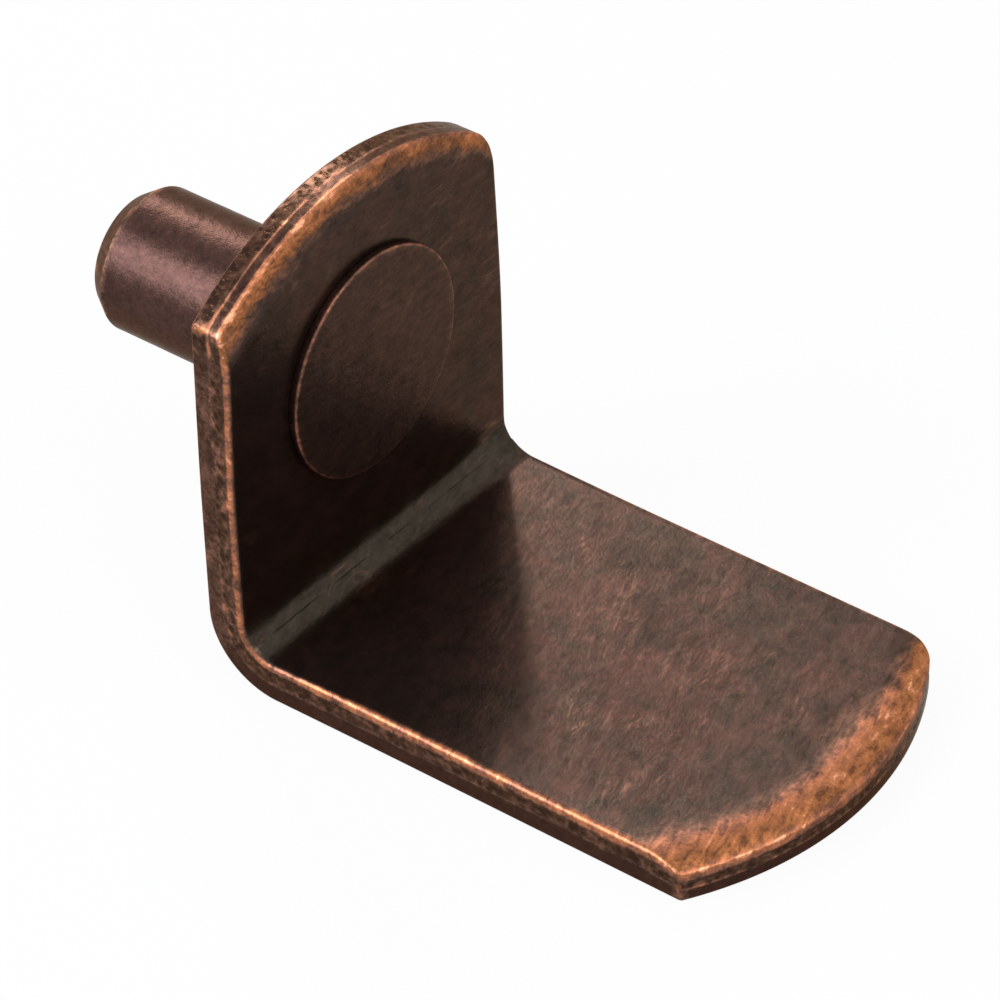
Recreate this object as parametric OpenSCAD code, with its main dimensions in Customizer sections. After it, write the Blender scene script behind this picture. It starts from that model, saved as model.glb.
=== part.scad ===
// Shelf support pin: a folded sheet bracket with a wall pin riveted into its plate.
//
// The origin is on the pin's axis, at the face of the plate that meets the wall.
// +Y points into the wall along the pin, and the shelf arm reaches out along -Y.
// +Z is up, and the part is symmetric about the plane X = 0. Sizes are in millimetres.

/* [Sheet] */
// Width of the strip that the bracket is folded from
strip_w = 13.2; // [11:0.1:18]
// Thickness of the sheet
sheet_t = 1.5; // [1:0.1:2]
// Radius on the inside of the fold
fold_r = 1.1; // [0.5:0.1:2]
// Radius on the strip's long edges, on the shelf side
side_r = 0.2; // [0.1:0.05:0.4]
// Width of the slope that the punch rolls onto the shelf side at each arch
roll_w = 1.2; // [0.6:0.1:2]
// Depth of that slope where it meets the cut edge
roll_d = 0.4; // [0.1:0.05:0.5]
// Radius left on the edges of the wall side and of the underside
burr_r = 0.1; // [0.05:0.05:0.3]

/* [Plate] */
// Height of the plate, from the underside of the arm to the crest of its arch
plate_h = 16; // [15:0.5:24]
// Rise of the plate's arch above its corners
plate_arch = 2.2; // [0.5:0.1:4]

/* [Arm] */
// Reach of the arm, from the wall face to the crest of its arch
arm_reach = 20.6; // [14:0.1:32]
// Rise of the arm's arch beyond its corners
arm_arch = 2; // [0.5:0.1:4]
// Height of the pin's axis above the face that the shelf rests on
pin_rise = 7.6; // [6.5:0.1:9]

/* [Pin] */
// Diameter of the pin
pin_d = 5; // [4.2:0.05:6.4]
// Length of the pin beyond the wall face
pin_l = 8.2; // [5:0.1:12]
// Length of the chamfer at the pin's tip, along the axis
tip_l = 0.65; // [0.2:0.05:1.5]
// Width of the chamfer at the pin's tip, across the axis
tip_w = 0.45; // [0.1:0.05:1]
// Diameter of the tenon that passes through the plate
tenon_d = 4; // [3:0.05:4.1]
// Diameter of the head that is upset on the tenon
head_d = 8; // [6:0.1:10]
// Thickness of the upset head
head_h = 0.3; // [0.2:0.05:1]
// Radius on the rim of the upset head
head_rim_r = 0.1; // [0.05:0.05:0.15]

/* [Fit] */
// Gap left around the tenon in its hole
tenon_gap = 0.05; // [0.02:0.01:0.1]

/* [Hidden] */
$fn = 96;

// Heights, measured from the pin's axis
seat_z = -pin_rise;
underside_z = seat_z - sheet_t;
crest_z = underside_z + plate_h;

// The fold turns about one line, with the sheet's thickness kept around it
fold_out_r = fold_r + sheet_t;
fold_z = seat_z + fold_r;

// Radius of an arch that runs from one corner over its crest to the other
function arch_radius(rise) = (pow(strip_w / 2, 2) + pow(rise, 2)) / (2 * rise);

// Length by which a blank or a drill runs past the surface that ends it
over = 1;

bracket_colour = [0.31, 0.21, 0.17];
pin_colour = [0.38, 0.25, 0.21];

// Section across the whole strip, from its shelf side at y = 0 to the other side.
// Each long edge has its own radius on either side of the sheet.
module strip_section() {
    edge_x = strip_w / 2;
    for (side = [-1, 1]) {
        translate([side * (edge_x - side_r), side_r]) circle(r = side_r);
        translate([side * (edge_x - burr_r), sheet_t - burr_r]) circle(r = burr_r);
    }
    translate([side_r - edge_x, 0]) square([strip_w - 2 * side_r, sheet_t]);
    translate([burr_r - edge_x, side_r]) square([strip_w - 2 * burr_r, sheet_t - side_r]);
    translate([-edge_x, side_r]) square([strip_w, sheet_t - side_r - burr_r]);
}

// Half section of the sheet across an arch of a given radius, with the shelf side at y = 0.
// The punch has rolled the shelf side down towards the cut edge along an arc.
module arch_section(radius) {
    roll_r = (pow(roll_w, 2) + pow(roll_d, 2)) / (2 * roll_d);
    translate([radius - burr_r, sheet_t - burr_r]) circle(r = burr_r);
    intersection() {
        union() {
            square([radius, sheet_t - burr_r]);
            square([radius - burr_r, sheet_t]);
        }
        union() {
            square([radius - roll_w, sheet_t]);
            translate([0, roll_r]) square([radius, sheet_t]);
            translate([radius - roll_w, roll_r]) circle(r = roll_r);
        }
    }
}

// Strip that runs from its fold at y = 0 to the crest of its arch at y = -length,
// with the shelf side on the plane z = 0 and the sheet above it
module arched_strip(length, rise) {
    radius = arch_radius(rise);
    intersection() {
        rotate([90, 0, 0])
            linear_extrude(height = length + over) strip_section();
        translate([0, radius - length, 0]) arch_bound(radius, length);
    }
}

// What bounds an arched strip: a disc of the sheet, whose rim is the arch,
// and a block behind its centre, which leaves the rest of the strip whole
module arch_bound(radius, length) {
    rotate_extrude() arch_section(radius);
    translate([-radius, 0, -over])
        cube([2 * radius, length, sheet_t + 2 * over]);
}

// Plate that lies against the wall, above the fold
module plate() {
    translate([0, -sheet_t, fold_z])
        rotate([-90, 0, 0]) arched_strip(crest_z - fold_z, plate_arch);
}

// Quarter turn between the plate and the arm
module fold() {
    translate([0, -fold_out_r, fold_z])
        rotate([-90, 0, 90])
            rotate_extrude(angle = 90)
                translate([fold_r, 0]) rotate(-90) strip_section();
}

// Arm that carries the shelf, in front of the fold
module arm() {
    translate([0, -fold_out_r, seat_z])
        rotate([0, 180, 0]) arched_strip(arm_reach - fold_out_r, arm_arch);
}

// Hole through the plate for the tenon
module tenon_hole() {
    translate([0, -sheet_t - over, 0])
        rotate([-90, 0, 0])
            cylinder(d = tenon_d + 2 * tenon_gap, h = sheet_t + 2 * over);
}

// The folded sheet, in one piece
module bracket() {
    color(bracket_colour)
        difference() {
            union() {
                plate();
                fold();
                arm();
            }
            tenon_hole();
        }
}

// Half profile of the pin: x is the radius, and y is the distance into the wall
module pin_profile() {
    polygon([
        [0, -sheet_t - head_h],
        [tenon_d / 2, -sheet_t - head_h],
        [tenon_d / 2, 0],
        [pin_d / 2, 0],
        [pin_d / 2, pin_l - tip_l],
        [pin_d / 2 - tip_w, pin_l],
        [0, pin_l]
    ]);
    translate([0, -sheet_t - head_h]) head_profile();
}

// Half profile of the upset head, with its free face at y = 0
module head_profile() {
    square([head_d / 2 - head_rim_r, head_h]);
    translate([0, head_rim_r]) square([head_d / 2, head_h - head_rim_r]);
    translate([head_d / 2 - head_rim_r, head_rim_r]) circle(r = head_rim_r);
}

// The turned pin: its shoulder sits on the wall face, and its head on the shelf side
module pin() {
    color(pin_colour)
        rotate([-90, 0, 0])
            rotate_extrude() pin_profile();
}

bracket();
pin();
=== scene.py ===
"""Shelf support pin in antique copper: a folded bracket with a wall pin riveted into its plate.

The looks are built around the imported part, which is loaded below as a fixed frame. Lengths are
in metres. The origin is on the pin's axis, at the face of the plate that meets the wall. +Y
points into the wall, the arm reaches out along -Y, and +Z is up.
"""
from math import asin, atan2, ceil, cos, exp, hypot, pi, radians, sin, sqrt, tan

import bmesh
import bpy
from bpy.props import FloatProperty, FloatVectorProperty, PointerProperty
from bpy.types import NodeSocket, Operator, Panel, PropertyGroup, Scene
from mathutils import Matrix, Quaternion, Vector, noise


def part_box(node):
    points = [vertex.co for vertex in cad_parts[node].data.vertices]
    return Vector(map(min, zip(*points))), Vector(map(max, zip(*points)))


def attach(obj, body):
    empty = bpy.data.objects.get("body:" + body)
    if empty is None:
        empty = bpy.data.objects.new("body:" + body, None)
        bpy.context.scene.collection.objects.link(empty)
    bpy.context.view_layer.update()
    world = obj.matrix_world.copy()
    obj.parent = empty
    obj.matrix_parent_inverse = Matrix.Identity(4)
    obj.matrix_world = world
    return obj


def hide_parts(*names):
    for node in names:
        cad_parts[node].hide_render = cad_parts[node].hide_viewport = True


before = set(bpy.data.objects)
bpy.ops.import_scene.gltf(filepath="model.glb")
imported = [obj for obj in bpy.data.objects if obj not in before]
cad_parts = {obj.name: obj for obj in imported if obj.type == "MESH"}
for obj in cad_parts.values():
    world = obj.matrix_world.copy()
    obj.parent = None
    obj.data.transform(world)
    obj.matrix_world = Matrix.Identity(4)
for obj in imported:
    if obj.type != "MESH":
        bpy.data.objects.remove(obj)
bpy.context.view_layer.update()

bl_info = {
    "name": "Shelf support pin",
    "version": (1, 0, 0),
    "blender": (4, 5, 0),
    "location": "3D View > Sidebar > Shelf Pin",
    "description": "Builds a shelf support pin in antique copper",
    "category": "Object",
}

# A size in millimetres is written times this
MM = 0.001
BRACKET_LOW, BRACKET_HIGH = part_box("bracket")
BRACKET_SIZE = BRACKET_HIGH - BRACKET_LOW
PIN_LOW, PIN_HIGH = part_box("pin")
FLOOR_Z = BRACKET_LOW.z


def linear(hex_colour):
    """Linear red, green, blue and full alpha of an sRGB colour written as #RRGGBB."""
    parts = [int(hex_colour[i:i + 2], 16) / 255 for i in (1, 3, 5)]
    return [p / 12.92 if p <= 0.04045 else ((p + 0.055) / 1.055) ** 2.4 for p in parts] + [1.0]


def length_prop(name, description, default):
    return FloatProperty(
        name=name, description=description, default=default, min=0, unit="LENGTH", precision=5)


def angle_prop(name, description, degrees):
    return FloatProperty(name=name, description=description, default=radians(degrees), subtype="ANGLE")


def colour_prop(name, description, hex_colour):
    return FloatVectorProperty(
        name=name, description=description, default=linear(hex_colour), min=0, max=1,
        subtype="COLOR", size=4)


# ---- settings

class BracketSettings(PropertyGroup):
    """Sizes of the folded strip"""
    strip_width: length_prop("Strip width", "Width of the strip", BRACKET_SIZE.x)
    thickness: length_prop("Thickness", "Thickness of the sheet", 1.5 * MM)
    plate_height: length_prop("Plate height", "From the underside to its crest", BRACKET_SIZE.z)
    plate_arch: length_prop("Plate arch", "Rise of the plate's arched edge", 2.2 * MM)
    arm_reach: length_prop("Arm reach", "From the wall face to its crest", BRACKET_SIZE.y)
    arm_arch: length_prop("Arm arch", "Rise of the arm's arched edge", 2.0 * MM)
    fold_radius: length_prop("Fold radius", "Radius on the inside of the fold", 1.1 * MM)
    plate_left_radius: length_prop("Plate's left corner", "Radius of that corner", 0.3 * MM)
    plate_right_radius: length_prop("Plate's right corner", "Radius of that corner", 0.9 * MM)
    arm_left_radius: length_prop("Arm's left corner", "Radius of that corner", 0.2 * MM)
    arm_right_radius: length_prop("Arm's right corner", "Radius of that corner", 1.1 * MM)
    side_radius: length_prop("Side radius", "Radius on the long edges of the shelf side", 0.2 * MM)
    roll_width: length_prop("Roll width", "Width of the slope rolled onto each arch", 1.2 * MM)
    roll_depth: length_prop("Roll depth", "Depth of that slope at the cut edge", 0.4 * MM)
    burr_radius: length_prop("Burr radius", "Radius on the other side's edges", 0.1 * MM)
    swell: length_prop("Swell", "How far the press squeezes the shelf side out", 0.25 * MM)
    crease: length_prop("Crease", "Depth of the press mark inside the fold", 0.04 * MM)


class PinSettings(PropertyGroup):
    """Sizes of the turned pin"""
    diameter: length_prop("Diameter", "Diameter of the pin", 5.0 * MM)
    length: length_prop("Length", "Length beyond the wall face", PIN_HIGH.y)
    tip_length: length_prop("Tip length", "Length of the chamfer at the tip", 0.65 * MM)
    tip_width: length_prop("Tip width", "Width of the chamfer at the tip", 0.45 * MM)
    tenon_diameter: length_prop("Tenon diameter", "Diameter of the tenon through the plate", 4.0 * MM)
    tenon_gap: length_prop("Tenon gap", "Gap round the tenon in its hole", 0.05 * MM)
    head_diameter: length_prop("Head diameter", "Diameter of the upset head", PIN_HIGH.x - PIN_LOW.x)
    head_thickness: length_prop("Head thickness", "Thickness of the upset head", 0.3 * MM)
    head_rim_radius: length_prop("Head rim radius", "Radius on the rim of the upset head", 0.1 * MM)


class CopperSettings(PropertyGroup):
    """Colours of the antique copper finish"""
    patina: colour_prop("Patina", "Dark sulphide film on flat faces", "#382F28")
    patina_red: colour_prop("Red patina", "Thinner film that lets copper through", "#47302A")
    patina_pin: colour_prop("Pin patina", "Film on the turned pin", "#462F29")
    patina_thick: colour_prop("Thick patina", "Film where nothing has rubbed it", "#3A332B")
    smooth_cut: colour_prop("Smooth cut", "Film on the smooth part of a sheared edge", "#3C241C")
    torn_cut: colour_prop("Torn cut", "Film on the rough part of a sheared edge", "#4A3022")
    thin_film: colour_prop("Thin film", "Film that is almost rubbed through", "#624639")
    brown_copper: colour_prop("Brown copper", "Plating under the last of the film", "#8E5C48")
    copper: colour_prop("Copper", "Bare plating", "#B06E4B")
    amber: colour_prop("Amber copper", "Bare plating where the punch has rolled it", "#A2653E")
    amber_brown: colour_prop("Amber brown", "Brown plating where it is rolled", "#7F4F32")
    copper_light: colour_prop("Light copper", "Plating polished on the crests", "#E6A07C")
    scuff: colour_prop("Scuff", "Light thread left by a passing edge", "#5E5044")
    pit: colour_prop("Pit", "Film left in the pits of a torn edge", "#2E1D15")


class StudioSettings(PropertyGroup):
    """Camera and floor"""
    azimuth: angle_prop("Azimuth", "Camera's turn from the +Y view, towards +X", -50.88)
    elevation: angle_prop("Elevation", "Camera's angle above the floor", 38.62)
    roll: angle_prop("Roll", "Camera's turn about its own axis", -1.89)
    distance: length_prop("Distance", "From the camera to the point it looks at", 198.0 * MM)
    aim: FloatVectorProperty(
        name="Aim", description="Point that the camera looks at", subtype="XYZ", size=3,
        unit="LENGTH", default=(-0.71 * MM, -7.20 * MM, -2.57 * MM))
    lens: FloatProperty(name="Lens", description="Focal length in millimetres", default=227.5, min=1)
    floor_colour: colour_prop("Floor", "Colour of the plain pale floor", "#F4F4F4")


# ---- shaping helpers

# How quickly the finer bumps of an unevenness get weaker
OCTAVE_FALL = 0.6
# Closer points are joined, and thinner faces removed
SAME_POINT, THIN_FACE = 0.0005 * MM, 0.0002 * MM


def blend_step(low, high, value):
    """0 below low, 1 above high and smooth in between."""
    t = min(max((value - low) / (high - low), 0.0), 1.0)
    return t * t * (3 - 2 * t)


def hump(value, centre, half_width):
    """A bell that is 1 at its centre and all but 0 at twice the half width."""
    return exp(-((value - centre) / half_width) ** 2)


def uneven(point, period, octaves=3):
    """Smooth unevenness from about -1 to 1, in bumps about a period across and finer ones."""
    return noise.fractal(Vector(point) / period, OCTAVE_FALL, 2.0, octaves)


def spread(first, last, count):
    """count + 1 even steps from first to last."""
    return [first + (last - first) * i / count for i in range(count + 1)]


def in_scene(name, data):
    """A new object in the scene."""
    item = bpy.data.objects.new(name, data)
    bpy.context.scene.collection.objects.link(item)
    return item


def new_object(name, points, faces, marks):
    """A smooth-shaded object. marks holds one number a point under each attribute's name."""
    mesh = bpy.data.meshes.new(name)
    mesh.from_pydata(points, [], faces)
    for mark, values in marks.items():
        layer = mesh.attributes.new(mark, "FLOAT", "POINT")
        layer.data.foreach_set("value", [float(value) for value in values])
    work = bmesh.new()
    work.from_mesh(mesh)
    bmesh.ops.remove_doubles(work, verts=work.verts, dist=SAME_POINT)
    bmesh.ops.dissolve_degenerate(work, edges=work.edges, dist=THIN_FACE)
    bmesh.ops.recalc_face_normals(work, faces=work.faces)
    work.to_mesh(mesh)
    work.free()
    mesh.shade_smooth()
    return in_scene(name, mesh)


# ---- bracket

# Radius on the shelf side's edge along the arches
CREST_RADIUS = 0.1 * MM
# Length of side edge along which a corner's own radius is worked in
CORNER_FADE = 4 * MM
# Distances from an arch between which its edge turns into a side edge
ARCH_NEAR, ARCH_FAR = 0.15 * MM, 1.3 * MM
# The swell is full by the first, and eases off between the other two
SWELL_FULL, SWELL_EASE, SWELL_END = 9 * MM, 8 * MM, 22 * MM
# Shares by which it is less at the arm's end, and on the other side of the sheet
SWELL_DROP, SWELL_BACK = 0.68, 0.55
# Share by which the press has flattened the fold's inside
FLATTENING = 0.2
# Half width of the crease's step, and the length of its pieces
CREASE_EDGE, CREASE_PIECE = 0.04 * MM, 1.2 * MM


class Blank:
    """The flat blank of the bracket: u runs across it, s along it from the plate's crest, and
    depth into the sheet from the shelf side."""

    def __init__(self, size):
        self.size = size
        self.half = size.strip_width / 2
        self.thickness = size.thickness
        self.corner = {
            ("plate", -1): size.plate_left_radius, ("plate", 1): size.plate_right_radius,
            ("arm", -1): size.arm_left_radius, ("arm", 1): size.arm_right_radius}
        self.roll_radius = (size.roll_width ** 2 + size.roll_depth ** 2) / (2 * size.roll_depth)
        self.burr = size.burr_radius
        self.radius = {
            end: (self.half ** 2 + rise ** 2) / (2 * rise)
            for end, rise in (("plate", size.plate_arch), ("arm", size.arm_arch))}
        self.fold_y = -size.thickness - size.fold_radius
        self.seat_z = FLOOR_Z + size.thickness
        self.fold_z = self.seat_z + size.fold_radius
        self.crest_z = FLOOR_Z + size.plate_height
        self.fold_start = self.crest_z - self.fold_z
        self.fold_length = (size.fold_radius + size.thickness / 2) * pi / 2
        self.fold_end = self.fold_start + self.fold_length
        self.length = self.fold_end + size.arm_reach + self.fold_y

    def outline(self, station, inset):
        """Where a station of the outline lies when the outline is moved in by an inset."""
        kind, end, side, t = station
        if kind == "side":
            return self.side_point(side, t, inset)
        radius = self.radius[end]
        cut = max(inset, self.corner[end, side or (1 if t > 0 else -1)])
        turn = asin((self.half - cut) / (radius - cut))
        if kind == "arch":
            u = (radius - inset) * sin(t * turn)
            rise = radius - (radius - inset) * cos(t * turn)
        else:
            angle = turn + t * (pi / 2 - turn)
            u = side * ((radius - cut) * sin(turn) + (cut - inset) * sin(angle))
            rise = radius - (radius - cut) * cos(turn) - (cut - inset) * cos(angle)
        return u, rise if end == "plate" else self.length - rise

    def side_point(self, side, t, inset):
        """Point at a share t of a long edge. Both are spaced as the left one is, and each corner's
        radius is worked in next to it."""
        near, far = self.corner_rise("plate", -1, 0), self.corner_rise("arm", -1, 0)
        start = t * (self.length - near - far)
        left = (1 - t) * (self.length - near - far)
        s = near + start
        s += (self.corner_rise("plate", side, inset) - near) * max(1 - start / CORNER_FADE, 0)
        s -= (self.corner_rise("arm", side, inset) - far) * max(1 - left / CORNER_FADE, 0)
        return side * (self.half - inset), s

    def corner_rise(self, end, side, inset):
        """How far from the crest's level a side edge starts, on an outline moved in."""
        cut = max(inset, self.corner[end, side])
        radius = self.radius[end]
        return radius - sqrt((radius - cut) ** 2 - (self.half - cut) ** 2)

    def from_arch(self, u, s, end):
        """Distance from a point in to the arched edge at one end."""
        along = s if end == "plate" else self.length - s
        radius = self.radius[end]
        return max(radius - hypot(u, radius - along), 0) if along < radius else along

    def from_arches(self, u, s):
        """Distance from a point in to the nearer arched edge."""
        return min(self.from_arch(u, s, end) for end in self.radius)

    def archness(self, u, s):
        """1 along an arched edge, 0 along the sides, and smooth at the corners."""
        return 1 - blend_step(ARCH_NEAR, ARCH_FAR, self.from_arches(u, s))

    def face_depth(self, u, s, inset):
        """Depth of the shelf side's edge rounding at a point that lies an inset in."""
        at_corner = blend_step(self.half - 1.2 * MM, self.half - 0.2 * MM, abs(u))
        radius = CREST_RADIUS + (self.size.side_radius - CREST_RADIUS) * at_corner
        left = max(radius - inset, 0)
        total = (radius - sqrt(radius ** 2 - left ** 2)) ** 3
        for end in self.radius:
            left = self.size.roll_width - self.from_arch(u, s, end)
            if left > 0:
                total += (self.roll_radius - sqrt(self.roll_radius ** 2 - left ** 2)) ** 3
        return total ** (1 / 3)

    def swell(self, s, depth):
        """How far the pressed sheet swells sideways, most on the shelf side above the fold."""
        along = blend_step(0, SWELL_FULL, s) - SWELL_DROP * blend_step(SWELL_EASE, SWELL_END, s)
        return self.size.swell * along * (1 - SWELL_BACK * depth / self.thickness)

    def crease_depth(self, u, off):
        """Depth of the press mark at an angle off the fold's middle, where it ends in a step. It
        is broken, and stops short of the left end."""
        past = off * self.size.fold_radius
        depth = self.size.crease * (1 - blend_step(-CREASE_EDGE, CREASE_EDGE, past))
        depth *= blend_step(-pi / 4, -pi / 8, off)
        depth *= blend_step(-0.6, 0.1, uneven((u, 0, 0), CREASE_PIECE))
        return depth * blend_step(-0.97 * self.half, -0.8 * self.half, u)

    def folded(self, u, s, depth):
        """Where a point of the flat blank lands on the folded bracket."""
        pressed = 1 - depth / self.thickness
        if s < self.fold_start:
            point = Vector((u, -self.thickness + depth, self.crest_z - s))
        elif s < self.fold_end:
            angle = (s - self.fold_start) / self.fold_length * pi / 2
            off = angle - pi / 4
            flat = cos(pi / 8) / cos(abs(off) - pi / 8) - 1
            crease = self.crease_depth(u, off)
            radius = self.size.fold_radius * (1 + FLATTENING * flat * pressed) + crease * pressed + depth
            point = Vector((u, self.fold_y + radius * cos(angle), self.fold_z - radius * sin(angle)))
        else:
            point = Vector((u, self.fold_y - (s - self.fold_end), self.seat_z - depth))
        point.x += self.swell(s, depth) * (u / self.half) ** 5
        return point

    def shelter(self, s):
        """1 on the inside of the fold, where nothing rubs, and 0 away from it."""
        middle = (self.fold_start + self.fold_end) / 2
        return 1 - blend_step(0.8 * MM, 1.7 * MM, abs(s - middle))

    def handled(self, u, s):
        """How much the film is made lighter as painted light: over the arm, and most at its far right.
        """
        along = (s - self.fold_end) / (self.length - self.fold_end)
        on_arm = blend_step(self.fold_end - 0.3 * MM, self.fold_end + 1.5 * MM, s)
        return on_arm * (0.3 + 0.7 * blend_step(0, 1, 0.5 * along + 0.3 * u / self.half))

    def past_fold(self, s):
        """0 up to the fold, and 1 on the arm, where the edges are rubbed wider."""
        return blend_step(self.fold_end - 0.5 * MM, self.fold_end + 4.5 * MM, s)

    def corner_wear(self, u, s):
        """1 on the upright edge at each of the four corners, and 0 away from it."""
        near = self.from_arches(u, s)
        return hump(near, 0, 0.24 * MM) * hump(self.half - abs(u), 0, 0.2 * MM)


# Spacing of the stations along the outline, round the fold and at its crease
STEP, FOLD_STEP, CREASE_STEP = 0.1 * MM, 0.06 * MM, 0.02 * MM
# Reach of the closer spacings to either side of the fold's middle
FOLD_REACH, CREASE_REACH = 2.5 * MM, 0.15 * MM
# Steps round a corner, through the sheared edge and round the other side's edge
CORNER_STEPS, CUT_STEPS, BURR_STEPS = 10, 16, 3
# Insets of the rings on the shelf side and on the other side, in millimetres
FACE_INSETS = [0, 0.012, 0.04, 0.08, 0.13, 0.2, 0.28, 0.38, 0.5, 0.64, 0.8, 0.98, 1.18, 1.4]
BACK_INSETS = [0.2, 0.45, 0.9, 1.4]
# Inset of the grid inside the rings
GRID_INSET = 1.55 * MM
# Share of the length over which the grid straightens from an arch
BOW_SHARE = 0.3
# What the mesh tells the finish about a point, each from 0 to 1
MARKS = ("wear", "torn", "smooth_cut", "sheltered", "rolled", "handled")
# The painted light on the arm and the shelter tell on this much of the sheet's depth
SKIN = 0.3 * MM


def side_shares(blank):
    """Shares along a side edge where a station stands, closer together round the fold and
    closest at its crease. Their number is odd, as the grid uses every other one."""
    first = blank.corner_rise("plate", -1, 0)
    last = blank.length - blank.corner_rise("arm", -1, 0)
    middle = (blank.fold_start + blank.fold_end) / 2
    places = [first]
    while places[-1] < last:
        at_fold = hump(places[-1], middle, FOLD_REACH)
        at_crease = hump(places[-1], middle, CREASE_REACH)
        step = STEP + (FOLD_STEP - STEP) * at_fold
        places.append(places[-1] + step + (CREASE_STEP - step) * at_crease)
    if len(places) % 2 == 0:
        places.append(places[-1] + STEP)
    reach = places[-1] - first
    return [(p - first) / reach for p in places]


def outline_stations(blank):
    """Stations round the outline, from the left end of the plate's arch. Each holds its kind,
    end, side and share along that stretch."""
    # An arch is about 2.1 half widths long, and the grid needs an even count
    arch_count = 2 * round(blank.half * 2.1 / STEP / 2)
    arch, side = spread(-1, 1, arch_count), side_shares(blank)
    fan = spread(0, 1, CORNER_STEPS)[1:-1]
    stretches = [
        ("arch", "plate", 0, arch), ("corner", "plate", 1, fan), ("side", "", 1, side),
        ("corner", "arm", 1, fan[::-1]), ("arch", "arm", 0, arch[::-1]), ("corner", "arm", -1, fan),
        ("side", "", -1, side[::-1]), ("corner", "plate", -1, fan[::-1])]
    stations = [(kind, end, way, t) for kind, end, way, shares in stretches for t in shares]
    return stations, arch_count, side


def left_share(blank, u):
    """1 towards the left end of an arch and 0 towards its right end."""
    return 1 - blend_step(-0.5 * blank.half, 0.35 * blank.half, u)


def edge_wear(blank, u, s):
    """Wear on the crest between the shelf side and the sheared edge."""
    arch = blank.archness(u, s)
    fold = blend_step(blank.fold_start, blank.fold_end, s)
    side = 0.6 - 0.03 * fold if u < 0 else 0.45
    left = left_share(blank, u)
    crest = 0.45 + (0.3 if s > blank.length / 2 else 0.35) * left
    return side + (crest - side) * arch


def cut_look(blank, u, s, share):
    """How worn, torn and smooth the sheared edge is at a share of the way through the sheet.
    The shear tears a part, cuts the rest smoothly and leaves a ridge between them."""
    arch = blank.archness(u, s)
    at_plate = arch if s < blank.length / 2 else 0
    at_arm = arch - at_plate
    left = left_share(blank, u)
    # Painted light: the plate's sheared sides get more wear below, so they come out lighter than the
    # arm's, which stands in for the shade on the arm's sides near the floor
    painted_plate_side_light = (1 - arch) * (1 - blend_step(blank.fold_start, blank.fold_end, s))
    patchy = 1 + 0.3 * uneven((u, s, share * MM), 0.8 * MM)
    share += 0.05 * uneven((u, s, 0), 2.2 * MM) + 0.05 * (1 - arch) * uneven((u, s, 9), 0.6 * MM)
    # The torn band, and at the plate's arch a torn half with broken patches before it
    start = 0.1 + 0.22 * at_arm
    extent = 0.34 - 0.06 * at_arm
    torn = blend_step(start, start + 0.06, share)
    torn *= 1 - blend_step(extent, extent + 0.08, share - start)
    broken = blend_step(-0.1, 0.3, uneven((u, s, 0), 0.9 * MM)) * left
    torn += (max(blend_step(0.46, 0.56, share), 0.7 * broken) - torn) * at_plate
    ridge = hump(share, 0.5 - 0.05 * at_plate + 0.12 * at_arm, 0.04)
    smooth = (1 - torn) * (1 - ridge)
    # Wear on each of them, on the arm's rolled crest and along the edge. The extra wear on the plate's
    # sides is painted light.
    wear = ridge * (0.26 + 0.12 * at_arm + (0.12 + 0.35 * left) * at_plate)
    wear += torn * (0.16 * painted_plate_side_light + 0.07 * (1 - painted_plate_side_light))
    wear += smooth * (0.2 * painted_plate_side_light + 0.16 * at_plate)
    wear = max(wear, 0.5 * at_arm * (1 - blend_step(0.2, 0.36, share)))
    wide = 0.4 + 0.6 * max(blank.past_fold(s), arch)
    line = edge_wear(blank, u, s) * (1 - blend_step(0.06 * wide, 0.16 * wide, share))
    wear = max(max(wear, line) * patchy, 0.42 * blank.corner_wear(u, s))
    return {"wear": wear, "torn": torn, "smooth_cut": smooth}


def arm_band(blank, u, s, near):
    """Wear of the bare band along the arm's arch. It is uneven, and narrows to the right."""
    width = 1 + 0.2 * uneven((u, s, 0), 2.5 * MM) - 0.42 * blend_step(0, blank.half, u)
    band = 0.3 * (1 - blend_step(0.5 * width * MM, 1.5 * width * MM, near))
    band += 0.24 * (1 - blend_step(0.4 * width * MM, 2.7 * width * MM, near))
    peak = 0.3 - 0.14 * abs(u) / blank.half
    return band + peak * hump(near, 0.9 * width * MM, 0.5 * MM)


def face_wear(blank, u, s, inset):
    """Wear of the shelf side: a band along each arch and a line along the whole edge."""
    near = blank.from_arches(u, s)
    arch = blank.archness(u, s)
    if s > blank.length / 2:
        band = arm_band(blank, u, s, near)
        crest = 0
    else:
        band = 0.56 * (1 - blend_step(0.12 * MM, 1.0 * MM, near))
        crest = 0.04 * MM * arch
    on_arm = blank.past_fold(s) * (1 - arch)
    inner, outer = (0.02 + 0.1 * on_arm) * MM + crest, (0.13 + 0.13 * on_arm) * MM + crest
    line = edge_wear(blank, u, s) * (1 - blend_step(inner, outer, inset))
    return max(band, line * (1 + 0.4 * uneven((u, s, 0), 0.8 * MM)))


def rolled_share(blank, u, s):
    """1 on the slope that the punch rolls beside an arch, just in from the crest."""
    near = blank.from_arches(u, s)
    return blend_step(0.06 * MM, 0.14 * MM, near) * (1 - blend_step(0.4 * MM, 0.9 * MM, near))


def back_wear(blank, s):
    """Wear along the edges of the wall side, which is less on the underside."""
    return 0.45 - 0.3 * blend_step(blank.fold_start, blank.fold_end, s)


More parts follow.
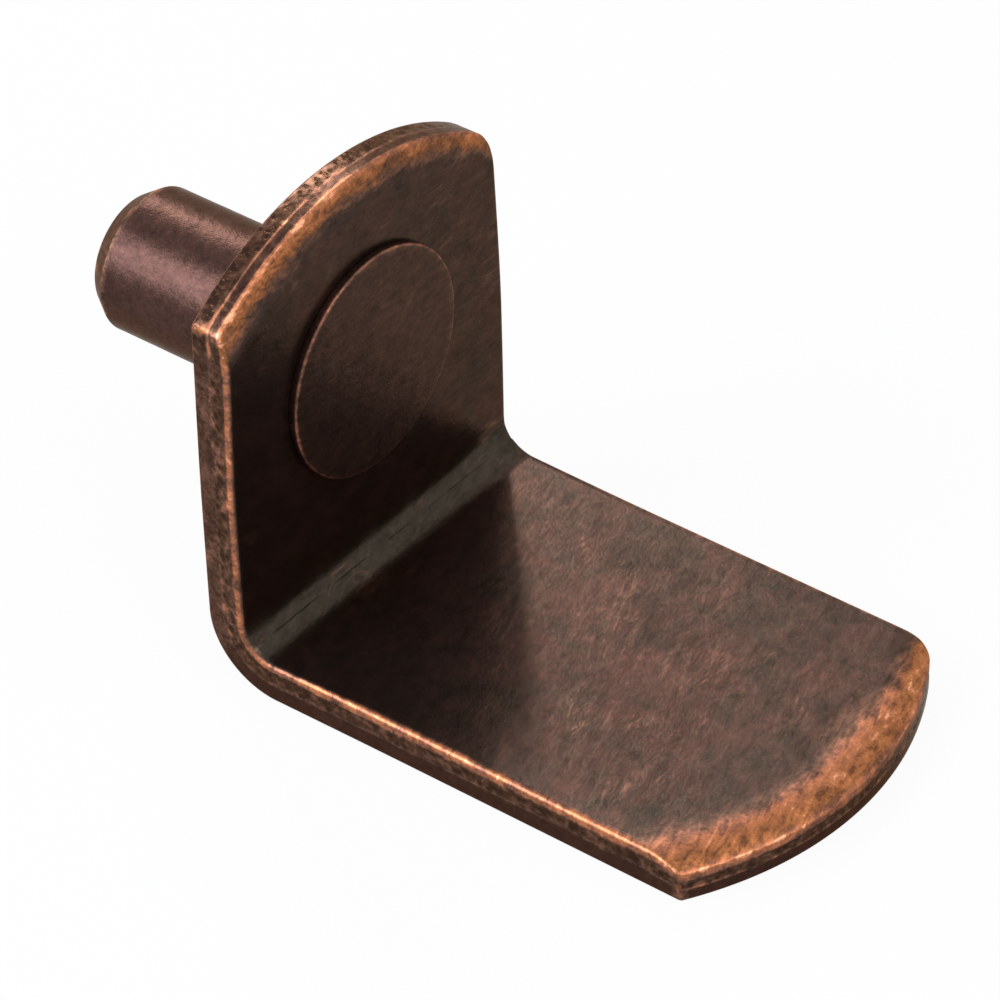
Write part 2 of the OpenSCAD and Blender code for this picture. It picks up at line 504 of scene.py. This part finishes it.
class Shell:
    """The bracket's surface: rings from the shelf side over the sheared edge to the other side,
    and a grid inside the end rings."""

    def __init__(self, blank):
        self.blank = blank
        self.stations, self.arch_count, self.side = outline_stations(blank)
        self.points, self.faces = [], []
        self.marks = {title: [] for title in MARKS}

    def add(self, u, s, depth, **marks):
        """Adds one point of the blank, folded and marked, and returns its number."""
        if depth < SKIN:
            # Shelter and the painted light over the arm go on the shelf side's skin
            marks.update(sheltered=self.blank.shelter(s), handled=self.blank.handled(u, s))
        for title, values in self.marks.items():
            values.append(marks.get(title, 0))
        self.points.append(self.blank.folded(u, s, depth))
        return len(self.points) - 1

    def ring(self, inset, look):
        """Ring on the outline moved in by an inset. look gives each point's depth and marks."""
        places = [self.blank.outline(station, inset) for station in self.stations]
        return [self.add(u, s, **look(u, s)) for u, s in places]

    def face_ring(self, inset):
        """Ring on the shelf side."""
        blank = self.blank
        return self.ring(inset, lambda u, s: {
            "depth": blank.face_depth(u, s, inset), "wear": face_wear(blank, u, s, inset),
            "rolled": rolled_share(blank, u, s)})

    def cut_ring(self, share):
        """Ring at a share of the way through the sheared edge, sunk where it is torn."""
        blank = self.blank
        ring = []
        for station in self.stations:
            u, s = blank.outline(station, 0)
            top = blank.face_depth(u, s, 0)
            depth = top + share * (blank.thickness - blank.burr - top)
            look = cut_look(blank, u, s, share)
            relief = look["torn"] ** 2 * 0.03 * uneven((u, s, depth), 0.35 * MM, 2) * MM
            u, s = blank.outline(station, max(relief, 0))
            rolled = 0.6 * look["torn"] * blank.archness(u, s)
            ring.append(self.add(u, s, depth, rolled=rolled, **look))
        return ring

    def back_ring(self, inset, rise=0):
        """Ring on the other side, or a rise short of it where its edge is rounded."""
        blank = self.blank
        fade = 1 - blend_step(0.1 * MM, 0.4 * MM, inset)
        return self.ring(inset, lambda u, s: {
            "depth": blank.thickness - rise, "wear": fade * back_wear(blank, s)})

    def join(self, rings):
        """Faces between each ring and the next."""
        count = len(self.stations)
        for outer, inner in zip(rings, rings[1:]):
            for i in range(count):
                j = (i + 1) % count
                self.faces.append((outer[i], outer[j], inner[j], inner[i]))

    def grid_place(self, t, share):
        """Place on the blank of a grid point, a share along the strip. It bows with each arch."""
        across, bow = [], []
        for end in ("plate", "arm"):
            u, s = self.blank.outline(("arch", end, 0, t), GRID_INSET)
            _, corner_s = self.blank.outline(("arch", end, 0, 1), GRID_INSET)
            across.append(u)
            bow.append(s - corner_s)
        near = [max(1 - share / BOW_SHARE, 0) ** 2, max(1 - (1 - share) / BOW_SHARE, 0) ** 2]
        _, base = self.blank.outline(("side", "", 1, share), GRID_INSET)
        u = across[0] + (across[1] - across[0]) * share
        return u, base + bow[0] * near[0] + bow[1] * near[1]

    def fill(self, ring, depth):
        """Grid of half the stations inside a ring, with a seam that joins two to one."""
        blank, count = self.blank, len(self.stations)
        columns, rows = self.arch_count // 2, len(self.side) // 2
        grid = {}
        for j in range(rows + 1):
            for i in range(columns + 1):
                u, s = self.grid_place(-1 + 2 * i / columns, self.side[2 * j])
                wave = 0.006 * MM * abs(uneven((u, s, depth), 4 * MM, 2))
                wear = 0 if depth else face_wear(blank, u, s, blank.half)
                grid[i, j] = self.add(u, s, depth + (-wave if depth else wave), wear=wear)
        for j in range(rows):
            for i in range(columns):
                self.faces.append((grid[i, j], grid[i + 1, j], grid[i + 1, j + 1], grid[i, j + 1]))
        stretches = [station[:3] for station in self.stations]
        seams = [
            (("arch", "plate", 0), [(i, 0) for i in range(columns + 1)]),
            (("side", "", 1), [(columns, j) for j in range(rows + 1)]),
            (("arch", "arm", 0), [(columns - i, rows) for i in range(columns + 1)]),
            (("side", "", -1), [(0, rows - j) for j in range(rows + 1)])]
        for stretch, border in seams:
            first = stretches.index(stretch)
            for k, (near, far) in enumerate(zip(border, border[1:])):
                a, b, c = (ring[(first + 2 * k + n) % count] for n in range(3))
                self.faces.append((a, b, c, grid[far], grid[near]))


def bracket_mesh(size):
    """Points, faces and marks of the folded bracket."""
    blank = Blank(size)
    shell = Shell(blank)
    rings = [shell.face_ring(inset * MM) for inset in reversed(FACE_INSETS)]
    rings += [shell.cut_ring(share) for share in spread(0, 1, CUT_STEPS)[1:]]
    rings += [shell.back_ring(blank.burr * (1 - cos(turn)), blank.burr * (1 - sin(turn)))
              for turn in spread(0, pi / 2, BURR_STEPS)[1:]]
    rings += [shell.back_ring(inset * MM) for inset in BACK_INSETS]
    shell.join(rings)
    shell.fill(rings[0], 0)
    shell.fill(rings[-1], blank.thickness)
    return shell.points, shell.faces, shell.marks


# Sides of the drilled hole, and the length of what drills it
HOLE_SEGMENTS, DRILL_LENGTH = 96, 6 * MM


def cut_tenon_hole(piece, size):
    """Drills the hole for the pin's tenon through the plate."""
    radius = size.tenon_diameter / 2 + size.tenon_gap
    work = bmesh.new()
    bmesh.ops.create_cone(
        work, cap_ends=True, segments=HOLE_SEGMENTS, radius1=radius, radius2=radius,
        depth=DRILL_LENGTH, matrix=Matrix.Rotation(pi / 2, 4, "X"))
    drill_mesh = bpy.data.meshes.new("drill")
    work.to_mesh(drill_mesh)
    work.free()
    drill = in_scene("drill", drill_mesh)
    hole = piece.modifiers.new("Tenon hole", "BOOLEAN")
    hole.operation = "DIFFERENCE"
    hole.solver = "EXACT"
    hole.object = drill
    bpy.context.view_layer.update()
    seen = piece.evaluated_get(bpy.context.evaluated_depsgraph_get())
    cut = bpy.data.meshes.new_from_object(seen)
    piece.modifiers.clear()
    piece.data = cut
    bpy.data.objects.remove(drill)


# ---- pin

# Points round the pin, and the widest gap along its section
AROUND, PROFILE_GAP = 224, 0.2 * MM
# Radii on the pin's hidden corners, its shoulder and the chamfer's two ends
HIDDEN_R, SHOULDER_R, NECK_R, TIP_R = 0.02 * MM, 0.04 * MM, 0.05 * MM, 0.06 * MM
# Wear over the head and the chamfer
HEAD_WEAR, CHAMFER_WEAR = 0.08, 0.2
# Depth and size of the dents that tumbling leaves in the pin
DENT_DEPTH, DENT_SIZE = 0.008 * MM, 1.5 * MM


def rounded(corner, before, after, radius, steps=5):
    """Points that round the corner of a profile between its two neighbours."""
    corner, before, after = Vector(corner), Vector(before), Vector(after)
    to_before, to_after = (before - corner).normalized(), (after - corner).normalized()
    half_angle = to_before.angle(to_after) / 2
    back = radius / tan(half_angle)
    centre = corner + (to_before + to_after).normalized() * radius / sin(half_angle)
    start, end = corner + to_before * back - centre, corner + to_after * back - centre
    first = atan2(start.y, start.x)
    turn = atan2(start.x * end.y - start.y * end.x, start.dot(end))
    return [centre + radius * Vector((cos(first + turn * t), sin(first + turn * t)))
            for t in spread(0, 1, steps)]


def filled(profile, gap):
    """The profile with points added where two neighbours are further apart than a gap."""
    result = [profile[0]]
    for a, b in zip(profile, profile[1:]):
        count = max(1, ceil((b - a).length / gap))
        result += [a + (b - a) * i / count for i in range(1, count + 1)]
    return result


def pin_profile(size, sheet):
    """Half section of the pin from the middle of its head to the middle of its tip. Each point
    holds a radius and a distance into the wall."""
    head_y = -sheet - size.head_thickness
    head_r, tenon_r, pin_r = size.head_diameter / 2, size.tenon_diameter / 2, size.diameter / 2
    tip_r, neck_y = pin_r - size.tip_width, size.length - size.tip_length
    corners = [
        ((0, head_y), 0), ((head_r, head_y), size.head_rim_radius), ((head_r, -sheet), HIDDEN_R),
        ((tenon_r, -sheet), HIDDEN_R), ((tenon_r, 0), HIDDEN_R), ((pin_r, 0), SHOULDER_R),
        ((pin_r, neck_y), NECK_R), ((tip_r, size.length), TIP_R), ((0, size.length), 0)]
    profile = []
    for i, (corner, radius) in enumerate(corners):
        if radius:
            profile += rounded(corner, corners[i - 1][0], corners[i + 1][0], radius)
        else:
            profile.append(Vector(corner))
    return filled(profile, PROFILE_GAP)


def pin_wear(place, size, sheet):
    """Wear at a point of the profile: along the worn edges, and over the head and chamfer."""
    neck_y, tip_r = size.length - size.tip_length, size.diameter / 2 - size.tip_width
    head = (size.head_diameter / 2, -sheet - size.head_thickness)
    edges = [((size.diameter / 2, neck_y), 0.12 * MM, 0.36), ((tip_r, size.length), 0.08 * MM, 0.4),
             (head, 0.09 * MM, 0.5)]
    rub = max(most * hump((place - Vector(edge)).length, 0, width) for edge, width, most in edges)
    on_head = place.y < -sheet
    on_chamfer = neck_y < place.y < size.length and place.x > tip_r
    return max(rub, HEAD_WEAR * on_head, CHAMFER_WEAR * on_chamfer)


def pin_mesh(size, sheet):
    """Points, faces and marks of the turned pin. Its head keeps a little more of the film."""
    points = []
    marks = {title: [] for title in MARKS}
    profile = pin_profile(size, sheet)
    for place in profile:
        looks = {"wear": pin_wear(place, size, sheet),
                 "sheltered": 0.35 * (place.y < -sheet)}
        for i in range(AROUND if place.x > SAME_POINT else 1):
            angle = 2 * pi * i / AROUND
            spot = Vector((cos(angle) * place.x, place.y, sin(angle) * place.x))
            dent = DENT_DEPTH * uneven(spot, DENT_SIZE, 2) if place.y > 0 else 0
            out = Vector((cos(angle), 0, sin(angle)))
            points.append(spot - out * max(dent, 0) * (place.x / (size.diameter / 2)))
            for title, mark in marks.items():
                mark.append(looks.get(title, 0))
    return points, turned_faces(len(profile) - 1), marks


def turned_faces(last):
    """Faces of a turned solid whose first and last rings are single points."""
    first_of = [0] + [1 + (k - 1) * AROUND for k in range(1, last + 1)]
    faces = []
    for k in range(last):
        for i in range(AROUND):
            j = (i + 1) % AROUND
            a, b = first_of[k], first_of[k + 1]
            if k == 0:
                faces.append((a, b + i, b + j))
            elif k == last - 1:
                faces.append((a + i, a + j, b))
            else:
                faces.append((a + i, a + j, b + j, b + i))
    return faces


# ---- finishes

def add_node(tree, kind, inputs=None, out=0, **settings):
    """Adds a node with its settings, and gives one of its outputs. Each input is a value or the
    output that feeds it."""
    node = tree.nodes.new("ShaderNode" + kind)
    for name, value in settings.items():
        setattr(node, name, value)
    for key, value in (inputs or {}).items():
        if isinstance(value, NodeSocket):
            tree.links.new(value, node.inputs[key])
        else:
            node.inputs[key].default_value = value
    return node.outputs[out] if node.outputs else None


# Settings of a smooth range, and of a mix of two colours with its output
SMOOTH = {"interpolation_type": "SMOOTHSTEP"}
COLOUR = {"data_type": "RGBA", "out": 2}


def empty_tree(owner):
    """The node tree of a new material or world, emptied."""
    owner.use_nodes = True
    owner.node_tree.nodes.clear()
    return owner.node_tree


# Clouds of the bath's film, mottling where it is half worn, and grain of the grit: size of the
# spots in millimetres, detail and distortion. Real grain is finer, and wouldn't show.
SPOTS = {"clouds": (1.4, 5.0, 0.6), "mottle": (0.45, 4.0, 0.3), "grain": (0.09, 2.0, 0.0)}
# Fibres that tumbling draws over the film: length and width, coarser than real ones so that
# they show, and turn in degrees
FIBRE_LENGTH, FIBRE_WIDTH, FIBRE_TURN = 0.9 * MM, 0.22 * MM, (0, 0, 15)
# Spacing of the pits in a torn edge, coarser than real ones so that they show
PIT_SPACING = 0.26 * MM
# Layers of rubbed strands: turn in degrees, length and spacing in millimetres, thinness and
# wear. The last layer runs up the plate.
STRANDS = (((0, 0, 24), 8.0, 0.8, 0.06, 0.16),
           ((0, 0, -4), 4.0, 0.4, 0.055, 0.13),
           ((0, -35, 0), 5.0, 0.4, 0.05, 0.07))
# Light threads that a passing edge leaves: turn, length, spacing, thinness, and rarity
SCUFFS = ((0, 0, 12), 5.0 * MM, 0.5 * MM, 0.02, 0.6)
STRAND_RARITY = 0.46
# Depth of the relief that the bump stands for
RELIEF = 0.008 * MM
# Share of metal under the film, and the colour of its glancing reflections
METAL, GLANCE = 0.88, (0.62, 0.5, 0.42, 1.0)
# A thin waxy coat, and how rough it is
WAX, WAX_ROUGHNESS = 0.08, 0.6


def turned(tree, place, turn, length, width):
    """The place, scaled so that a pattern is drawn out to a length and width at a turn."""
    return add_node(tree, "Mapping", {
        "Vector": place, "Rotation": [radians(a) for a in turn],
        "Scale": (length, width, width)}, vector_type="TEXTURE")


def strands(tree, place, turn, length, spacing, thin, rare):
    """Fine rubbed strands that run roughly one way, in loose patches: 1 on one and 0 off it."""
    laid = turned(tree, place, turn, length, spacing)
    veins = add_node(tree, "TexNoise", {"Vector": laid, "Scale": 1.0, "Detail": 2.0, "Distortion": 0.2})
    off = add_node(tree, "Math", {0: veins, 1: 0.5}, operation="SUBTRACT")
    off = add_node(tree, "Math", {0: off}, operation="ABSOLUTE")
    line = add_node(tree, "MapRange", {0: off, 1: 0.0, 2: thin, 3: 1.0, 4: 0.0})
    patches = add_node(tree, "TexNoise", {"Vector": place, "Scale": 3.5 / length, "Detail": 3.0})
    patch = add_node(tree, "MapRange", {0: patches, 1: rare, 2: rare + 0.2}, **SMOOTH)
    return add_node(tree, "Math", {0: line, 1: patch}, operation="MULTIPLY")


def film_patterns(tree, place):
    """The patterns that break up the film, each from 0 to 1, under their names."""
    patterns = {}
    for title, (size, detail, bend) in SPOTS.items():
        patterns[title] = add_node(tree, "TexNoise", {
            "Vector": place, "Scale": 1 / (size * MM), "Detail": detail, "Roughness": 0.65,
            "Distortion": bend})
    laid = turned(tree, place, FIBRE_TURN, FIBRE_LENGTH, FIBRE_WIDTH)
    patterns["fibres"] = add_node(
        tree, "TexNoise", {"Vector": laid, "Scale": 1.0, "Detail": 3.0, "Distortion": 0.8})
    return patterns


def sum_of_patterns(tree, start, amounts):
    """A start, which may be a number, plus an amount of each of several patterns."""
    total = start
    for pattern, amount in amounts:
        total = add_node(tree, "Math", {0: pattern, 1: amount, 2: total}, operation="MULTIPLY_ADD")
    return total


def torn_edge(tree, place, mottle, torn):
    """Pits in the torn part of an edge, and the rims between them, which are worn."""
    cells = add_node(tree, "TexVoronoi", {"Vector": place, "Scale": 1 / PIT_SPACING}, out="Distance")
    cells = add_node(tree, "Math", {0: mottle, 1: 1.6, 2: cells}, operation="MULTIPLY_ADD")
    rims = add_node(tree, "MapRange", {0: cells, 1: 1.35, 2: 1.65, 3: 0.0, 4: 0.2}, **SMOOTH)
    pits = add_node(tree, "MapRange", {0: cells, 1: 1.0, 2: 1.35, 3: 0.9, 4: 0.0}, **SMOOTH)
    pits = add_node(tree, "Math", {0: pits, 1: torn}, operation="MULTIPLY")
    return rims, pits


def rubbed_strands(tree, place, open_face, worn, rubbing):
    """The wear with the rubbed strands added where the face is open."""
    for turn, length, spacing, thin, amount in STRANDS:
        rub = strands(tree, place, turn, length * MM, spacing * MM, thin, STRAND_RARITY)
        rub = add_node(tree, "Math", {0: rub, 1: open_face}, operation="MULTIPLY")
        worn = add_node(tree, "Math", {0: rub, 1: amount * rubbing, 2: worn}, operation="MULTIPLY_ADD")
    return worn


def film_colour(tree, look, patina, clouds, marks):
    """The film, from grey-brown to redder with the clouds. Painted light makes it lighter over the
    arm, and the fold and the two parts of a sheared edge have their own."""
    redness = add_node(tree, "MapRange", {0: clouds, 1: 0.3, 2: 0.75})
    film = add_node(tree, "Mix", {0: redness, 6: patina, 7: look.patina_red}, **COLOUR)
    # Painted light: the film is made lighter over the arm, most at its far right
    painted_lift = add_node(tree, "Math", {0: marks["handled"], 1: 0.4, 2: 1.0}, operation="MULTIPLY_ADD")
    film = add_node(tree, "VectorMath", {0: film, "Scale": painted_lift}, operation="SCALE")
    for mark, tone in (
            ("sheltered", look.patina_thick), ("smooth_cut", look.smooth_cut), ("torn", look.torn_cut)):
        film = add_node(tree, "Mix", {0: marks[mark], 6: film, 7: tone}, **COLOUR)
    return film


def rubbed_colour(tree, look, film, worn, rolled):
    """The film's colour as wear thins it, through brown plating to bare and polished copper.
    The plating is amber where the punch has rolled it."""
    brown, bare = (
        add_node(tree, "Mix", {0: rolled, 6: flat, 7: warm}, **COLOUR)
        for flat, warm in ((look.brown_copper, look.amber_brown), (look.copper, look.amber)))
    colour = film
    for start, end, tone in ((0.05, 0.33, look.thin_film), (0.26, 0.54, brown),
                             (0.45, 0.72, bare), (0.72, 1.0, look.copper_light)):
        share = add_node(tree, "MapRange", {0: worn, 1: start, 2: end}, **SMOOTH)
        colour = add_node(tree, "Mix", {0: share, 6: colour, 7: tone}, **COLOUR)
    return colour


def antique_copper(name, look, patina, roughness, dents, rubbing):
    """Copper-plated steel, blackened in a sulphide bath and tumbled, which brightens its edges.
    The film has no shine of its own, so the metal stays metallic under it."""
    material = bpy.data.materials.new(name)
    tree = empty_tree(material)
    place = add_node(tree, "TexCoord", out="Object")
    marks = {mark: add_node(tree, "Attribute", attribute_name=mark, out="Fac") for mark in MARKS}
    wear, torn = marks["wear"], marks["torn"]
    clouds, mottle, grain, fibres = film_patterns(tree, place).values()

    # Wear from the marks, broken up by the patterns
    reach = add_node(tree, "MapRange", {0: wear, 1: 0.0, 2: 0.35}, **SMOOTH)
    breakup = sum_of_patterns(
        tree, -0.875, [(mottle, 0.5), (clouds, 0.5), (grain, 0.25), (fibres, 0.5)])
    rims, pits = torn_edge(tree, place, mottle, torn)
    worn = sum_of_patterns(tree, wear, [(breakup, reach), (rims, torn)])
    open_face = add_node(tree, "Math", {0: 1.0, 1: marks["smooth_cut"]}, operation="SUBTRACT")
    open_face = add_node(tree, "Math", {0: open_face, 1: torn}, operation="SUBTRACT", use_clamp=True)
    worn = rubbed_strands(tree, place, open_face, worn, rubbing)

    # Colour, made darker or lighter by the patterns, with light scuffs and dark pits over it
    film = film_colour(tree, look, patina, clouds, marks)
    colour = rubbed_colour(tree, look, film, worn, marks["rolled"])
    shade = sum_of_patterns(tree, -0.65, [(clouds, 0.5), (mottle, 1.0), (grain, 0.7), (fibres, 1.1)])
    colour = add_node(tree, "VectorMath", {0: colour, "Scale": shade}, operation="SCALE")
    scuffs = strands(tree, place, *SCUFFS)
    scuffs = add_node(tree, "Math", {0: scuffs, 1: rubbing}, operation="MULTIPLY")
    for share, tone in ((scuffs, look.scuff), (pits, look.pit)):
        colour = add_node(tree, "Mix", {0: share, 6: colour, 7: tone}, **COLOUR)

    # Relief of the grain, the dents and the pits. Worn parts are rougher.
    height = add_node(tree, "Math", {0: grain, 1: open_face}, operation="MULTIPLY")
    height = sum_of_patterns(tree, height, [(mottle, dents), (pits, -2.5)])
    bump = add_node(tree, "Bump", {"Height": height, "Strength": 0.6, "Distance": RELIEF})
    rough = add_node(tree, "MapRange", {0: clouds, 1: 0.3, 2: 0.7, 3: roughness, 4: roughness + 0.05})
    rough = add_node(tree, "Math", {0: reach, 1: 0.13, 2: rough}, operation="MULTIPLY_ADD")
    shader = add_node(tree, "BsdfPrincipled", {
        "Base Color": colour, "Metallic": METAL, "Roughness": rough, "Specular Tint": GLANCE,
        "Coat Weight": WAX, "Coat Roughness": WAX_ROUGHNESS, "Normal": bump})
    add_node(tree, "OutputMaterial", {"Surface": shader})
    return material


# Share of plain white in the board that the camera and a shiny surface see
SEEN_WHITE, MIRRORED_WHITE = 0.95, 0.5


def seen_by(tree):
    """1 or 0 for each of the camera, a shiny surface and a clear one: whether it is looking."""
    return [add_node(tree, "LightPath", out=f"Is {ray} Ray")
            for ray in ("Camera", "Glossy", "Transmission")]


def painted_board(name, colour):
    """Matt white board. What the camera and shiny surfaces see of it is lifted to white, and
    the part's shadow stays."""
    material = bpy.data.materials.new(name)
    tree = empty_tree(material)
    board = add_node(tree, "BsdfDiffuse", {"Color": colour})
    glow = add_node(tree, "Emission", {"Color": (1, 1, 1, 1)})
    camera, glossy, clear = seen_by(tree)
    mirrored = add_node(tree, "Math", {0: glossy, 1: clear}, operation="MAXIMUM")
    share = add_node(tree, "Math", {0: mirrored, 1: MIRRORED_WHITE}, operation="MULTIPLY")
    share = add_node(tree, "Math", {0: camera, 1: SEEN_WHITE, 2: share}, operation="MULTIPLY_ADD")
    both = add_node(tree, "MixShader", {0: share, 1: board, 2: glow})
    add_node(tree, "OutputMaterial", {"Surface": both})
    return material


# ---- stage

# Distance of every lamp from the part, in metres
LAMP_DISTANCE = 0.6
# Name, direction from the part, width and height in metres, brightness and colour
SOFTBOXES = [
    ("Window softbox", (-0.70, 0.50, 0.50), 0.40, 0.40, 6.3, (0.91, 0.98, 1.10)),
    ("Back softbox", (0.50, 0.61, 0.59), 0.17, 0.17, 12.2, (0.97, 1.0, 1.02)),
    ("Front softbox", (-0.05, -0.66, 0.75), 0.45, 0.40, 2.2, (1.0, 1.0, 1.0)),
]
# Strength of the surroundings as light, while what is seen of them is white
AMBIENT = 0.15
FLOOR_HALF = 2.0
# The floor lies a hair below the part, so that no two faces share a plane
FLOOR_GAP = 0.01 * MM


def softbox(name, direction, width, height, radiance, colour):
    """An area lamp that faces the part. Its power follows from how bright its face looks."""
    light = bpy.data.lights.new(name, "AREA")
    light.shape = "RECTANGLE"
    light.size, light.size_y = width, height
    light.energy = radiance * pi * width * height
    light.color = colour
    lamp = in_scene(name, light)
    way = Vector(direction).normalized()
    lamp.location = way * LAMP_DISTANCE
    lamp.rotation_mode = "QUATERNION"
    lamp.rotation_quaternion = way.to_track_quat("Z", "Y")


def add_world():
    """Plain white surroundings that light the part softly."""
    world = bpy.data.worlds.new("White surroundings")
    bpy.context.scene.world = world
    tree = empty_tree(world)
    camera, glossy, clear = seen_by(tree)
    seen = add_node(tree, "Math", {0: camera, 1: glossy}, operation="ADD")
    seen = add_node(tree, "Math", {0: seen, 1: clear}, operation="ADD", use_clamp=True)
    strength = add_node(tree, "MapRange", {0: seen, 3: AMBIENT, 4: 1.0})
    sky = add_node(tree, "Background", {"Color": (1, 1, 1, 1), "Strength": strength})
    add_node(tree, "OutputWorld", {"Surface": sky})


def add_floor(colour):
    """A plain pale board under the part."""
    level = FLOOR_Z - FLOOR_GAP
    corners = [(x * FLOOR_HALF, y * FLOOR_HALF, level) for x, y in ((-1, -1), (1, -1), (1, 1), (-1, 1))]
    mesh = bpy.data.meshes.new("floor")
    mesh.from_pydata(corners, [], [(0, 1, 2, 3)])
    mesh.materials.append(painted_board("white_board", colour))
    return in_scene("floor", mesh)


def add_camera(studio):
    """The camera, aimed from its azimuth, elevation and distance."""
    camera = bpy.data.cameras.new("Camera")
    camera.lens = studio.lens
    camera.clip_start, camera.clip_end = 0.01, 20
    holder = in_scene("Camera", camera)
    level = cos(studio.elevation)
    back = Vector((sin(studio.azimuth) * level, -cos(studio.azimuth) * level, sin(studio.elevation)))
    holder.location = Vector(studio.aim) + back * studio.distance
    holder.rotation_mode = "QUATERNION"
    roll = Quaternion((0, 0, 1), studio.roll)
    holder.rotation_quaternion = back.to_track_quat("Z", "Y") @ roll
    bpy.context.scene.camera = holder


# ---- operators

class SHELFPIN_OT_bracket(Operator):
    """Build the folded bracket"""
    bl_idname = "shelf_pin.bracket"
    bl_label = "Bracket"

    def execute(self, context):
        scene = context.scene
        piece = new_object("bracket_strip", *bracket_mesh(scene.shelf_pin_bracket))
        cut_tenon_hole(piece, scene.shelf_pin_pin)
        piece.data.materials.clear()
        look = scene.shelf_pin_copper
        piece.data.materials.append(
            antique_copper("antique_copper_bracket", look, look.patina, 0.22, 0.6, 1.0))
        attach(piece, "root")
        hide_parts("bracket")
        return {"FINISHED"}


class SHELFPIN_OT_pin(Operator):
    """Build the turned pin with its upset head"""
    bl_idname = "shelf_pin.pin"
    bl_label = "Pin"

    def execute(self, context):
        scene = context.scene
        thickness = scene.shelf_pin_bracket.thickness
        piece = new_object("turned_pin", *pin_mesh(scene.shelf_pin_pin, thickness))
        look = scene.shelf_pin_copper
        piece.data.materials.append(
            antique_copper("antique_copper_pin", look, look.patina_pin, 0.29, 4.5, 0.3))
        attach(piece, "root")
        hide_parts("pin")
        return {"FINISHED"}


class SHELFPIN_OT_stage(Operator):
    """Build the floor, the lamps, the surroundings and the camera"""
    bl_idname = "shelf_pin.stage"
    bl_label = "Stage"

    def execute(self, context):
        studio = context.scene.shelf_pin_studio
        floor = add_floor(studio.floor_colour)
        for box in SOFTBOXES:
            softbox(*box)
        add_world()
        add_camera(studio)
        context.scene.view_settings.view_transform = "Standard"
        return {"FINISHED"}


class SHELFPIN_PT_panel(Panel):
    """Shelf support pin"""
    bl_label = "Shelf Support Pin"
    bl_space_type = "VIEW_3D"
    bl_region_type = "UI"
    bl_category = "Shelf Pin"

    def draw(self, context):
        for operator, settings in STEPS:
            box = self.layout.box()
            for name in settings:
                group = getattr(context.scene, name)
                for prop in group.bl_rna.properties:
                    if prop.identifier not in ("rna_type", "name"):
                        box.prop(group, prop.identifier)
            box.operator(operator.bl_idname)


STEPS = [
    (SHELFPIN_OT_bracket, ["shelf_pin_bracket", "shelf_pin_copper"]),
    (SHELFPIN_OT_pin, ["shelf_pin_pin"]),
    (SHELFPIN_OT_stage, ["shelf_pin_studio"]),
]
GROUPS = {
    "shelf_pin_bracket": BracketSettings,
    "shelf_pin_pin": PinSettings,
    "shelf_pin_copper": CopperSettings,
    "shelf_pin_studio": StudioSettings,
}
CLASSES = [*GROUPS.values(), *(operator for operator, _ in STEPS), SHELFPIN_PT_panel]


def register():
    for item in CLASSES:
        bpy.utils.register_class(item)
    for name, group in GROUPS.items():
        setattr(Scene, name, PointerProperty(type=group))


def unregister():
    for name in GROUPS:
        delattr(Scene, name)
    for item in reversed(CLASSES):
        bpy.utils.unregister_class(item)


def main():
    """Builds every piece and the stage."""
    register()
    bpy.ops.shelf_pin.bracket()
    bpy.ops.shelf_pin.pin()
    bpy.ops.shelf_pin.stage()


if __name__ == "__main__":
    main()
